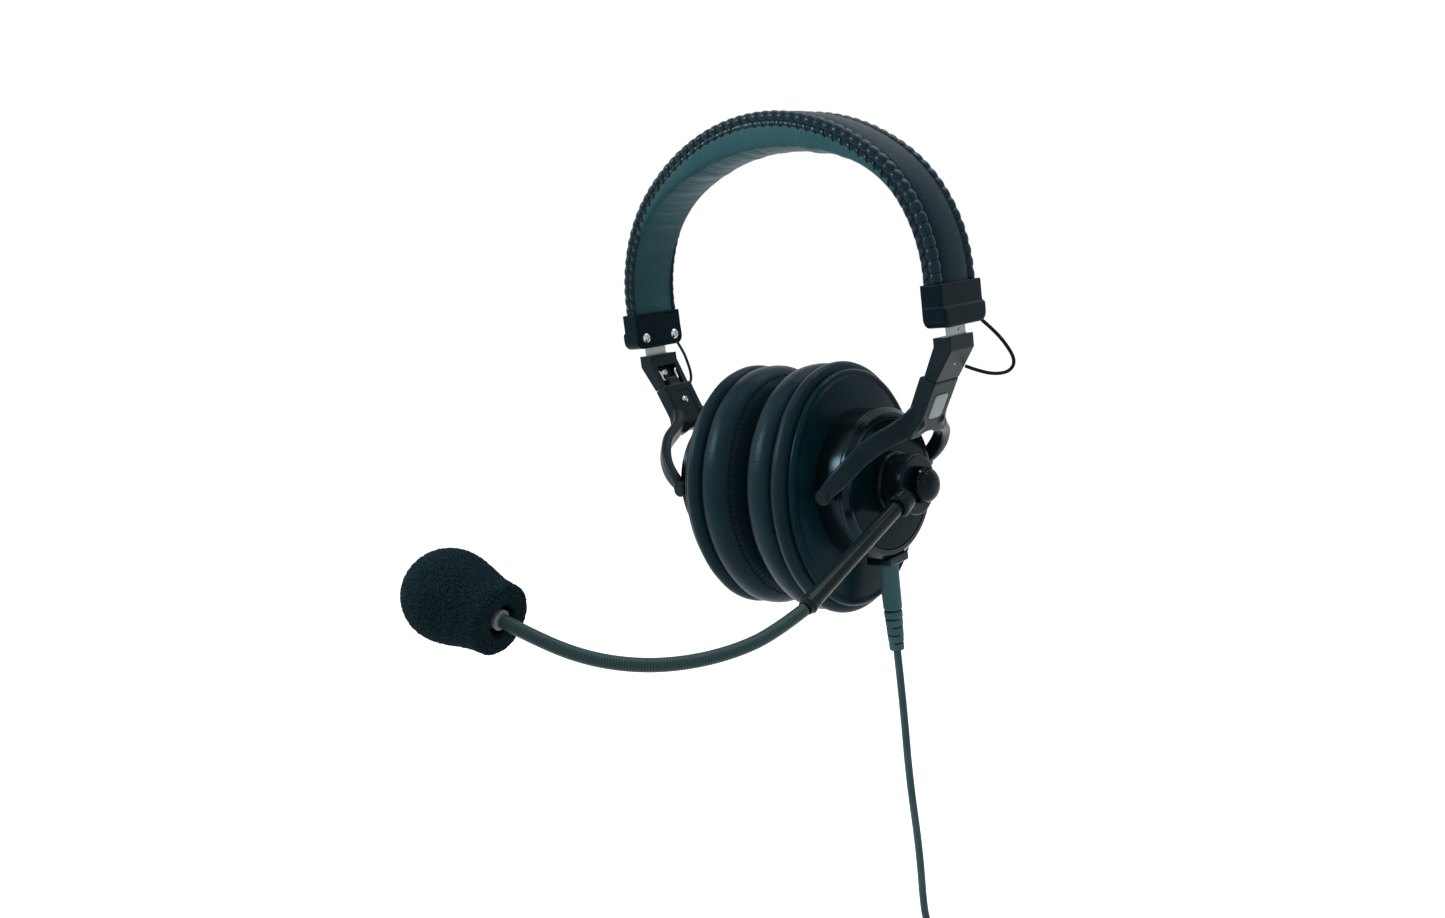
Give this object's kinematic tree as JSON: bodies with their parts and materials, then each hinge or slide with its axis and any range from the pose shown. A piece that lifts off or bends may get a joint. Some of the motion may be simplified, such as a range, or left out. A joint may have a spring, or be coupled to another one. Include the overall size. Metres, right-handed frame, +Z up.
{
  "type": "aviation headset",
  "caption": "Aviation headset with a padded sprung headband, folding size-adjustable yokes, oval ear cushions, a swivelling microphone boom and a hanging cable.",
  "frame": {"origin": "middle of the head pad's underside at the crown, where the headset hangs on a head or peg", "axes": "+Z up, -Y the way the wearer faces, +X to the wearer's left, the side of the boom and cable"},
  "size_m": [0.185, 0.2342, 0.442],
  "materials": {
    "leatherette": "soft sheen",
    "spring_steel": "brushed",
    "black_plastic": "satin",
    "cast_metal": "satin paint",
    "bright_steel": "polished",
    "gloss_plastic": "gloss",
    "badge": "gloss",
    "mesh_cloth": "woven",
    "foam": "open cell foam",
    "rubber": "matte",
    "gooseneck_skin": "ribbed",
    "boom_brass": "dark satin",
    "contact": "polished"
  },
  "bodies": {
    "headband": {"band_cover": "leatherette", "band_spring": "spring_steel", "band_pad": "leatherette", "front_edge_roll": "leatherette", "rear_edge_roll": "leatherette"},
    "left_band_end": {"left_end_cap": "black_plastic", "left_end_cover": "black_plastic", "left_end_screws": "bright_steel", "left_strip_lead": "rubber"},
    "left_slider": {"left_size_strip": "bright_steel", "left_hinge_block": "cast_metal", "left_block_screw": "bright_steel"},
    "left_fork": {"left_bail": "bright_steel", "left_yoke": "cast_metal", "left_badge_plate": "badge", "left_yoke_insert": "black_plastic", "left_yoke_screw": "bright_steel"},
    "left_cup": {"left_can": "black_plastic", "left_can_face": "gloss_plastic", "left_rim_plate": "black_plastic", "left_speaker": "black_plastic", "left_ear_cushion": "leatherette", "left_speaker_grille": "mesh_cloth", "left_pivot_pins": "bright_steel", "boom_hub": "black_plastic", "strain_relief": "rubber"},
    "right_band_end": {"right_end_cap": "black_plastic", "right_end_cover": "black_plastic", "right_end_screws": "bright_steel", "right_strip_lead": "rubber"},
    "right_slider": {"right_size_strip": "bright_steel", "right_hinge_block": "cast_metal", "right_block_screw": "bright_steel"},
    "right_fork": {"right_bail": "bright_steel", "right_yoke": "cast_metal", "right_badge_plate": "badge", "right_yoke_insert": "black_plastic", "right_yoke_screw": "bright_steel"},
    "right_cup": {"right_can": "black_plastic", "right_can_face": "gloss_plastic", "right_rim_plate": "black_plastic", "right_speaker": "black_plastic", "right_ear_cushion": "leatherette", "right_speaker_grille": "mesh_cloth", "right_pivot_pins": "bright_steel"},
    "boom": {"boom_clamp": "black_plastic", "boom_tube": "boom_brass", "boom_ferrule": "black_plastic", "gooseneck": "gooseneck_skin"},
    "knob": {"boom_knob": "gloss_plastic"},
    "microphone": {"mic_collar": "bright_steel", "mic_holder": "black_plastic", "mic_capsule": "spring_steel", "foam_windscreen": "foam"},
    "cable": {"cord": "rubber", "cord_hank": "rubber", "hank_tie": "mesh_cloth", "plug_cord": "rubber", "plug_shell": "rubber", "plug_pin": "contact"}
  },
  "joints": [
    {"name": "left_spread", "type": "hinge", "parent": "headband", "child": "left_band_end", "pos_m": [0, 0, 0.0109], "axis": [0, -1, 0], "range_deg": [0, 42], "deforming": ["band_cover", "band_spring", "band_pad", "front_edge_roll", "rear_edge_roll"]},
    {"name": "left_size_slide", "type": "slide", "parent": "left_band_end", "child": "left_slider", "axis": [0, 0, -1], "range_m": [-0.0033, 0.022], "deforming": ["left_strip_lead"]},
    {"name": "left_fold", "type": "hinge", "parent": "left_slider", "child": "left_fork", "pos_m": [0.07761, 0, -0.09005], "axis": [0, 1, 0], "range_deg": [0, 84]},
    {"name": "left_cup_tilt", "type": "hinge", "parent": "left_fork", "child": "left_cup", "pos_m": [0.04, 0, -0.1392], "axis": [0, 1, 0], "range_deg": [-4, 4]},
    {"name": "right_spread", "type": "hinge", "parent": "headband", "child": "right_band_end", "pos_m": [0, 0, 0.0109], "axis": [0, 1, 0], "range_deg": [0, 42], "deforming": ["band_cover", "band_spring", "band_pad", "front_edge_roll", "rear_edge_roll"]},
    {"name": "right_size_slide", "type": "slide", "parent": "right_band_end", "child": "right_slider", "axis": [0, 0, -1], "range_m": [-0.0033, 0.022], "deforming": ["right_strip_lead"]},
    {"name": "right_fold", "type": "hinge", "parent": "right_slider", "child": "right_fork", "pos_m": [-0.07761, 0, -0.09005], "axis": [0, -1, 0], "range_deg": [0, 84]},
    {"name": "right_cup_tilt", "type": "hinge", "parent": "right_fork", "child": "right_cup", "pos_m": [-0.04, 0, -0.1392], "axis": [0, -1, 0], "range_deg": [-4, 4]},
    {"name": "boom_swivel", "type": "hinge", "parent": "left_cup", "child": "boom", "pos_m": [0.0593, 0, -0.1414], "axis": [-1, 0, 0], "range_deg": [-45, 35]},
    {"name": "knob_turn", "type": "hinge", "parent": "left_cup", "child": "knob", "pos_m": [0.0625, 0, -0.1414], "axis": [1, 0, 0], "range_deg": [0, 270]},
    {"name": "mic_bend", "type": "hinge", "parent": "boom", "child": "microphone", "pos_m": [0.0466, -0.1252, -0.176], "axis": [0, 0, 1], "range_deg": [-30, 30], "deforming": ["gooseneck"]},
    {"name": "cable_hang", "type": "hinge", "parent": "left_cup", "child": "cable", "pos_m": [0.041, 0, -0.2056], "axis": [0, -1, 0], "range_deg": [0, 42], "deforming": ["strain_relief"]}
  ],
  "couplings": [
    {"joint": "left_spread", "follows": "left_fold", "ratio": 0.5},
    {"joint": "right_spread", "follows": "right_fold", "ratio": 0.5},
    {"joint": "cable_hang", "follows": "left_fold", "ratio": 0.5}
  ]
}
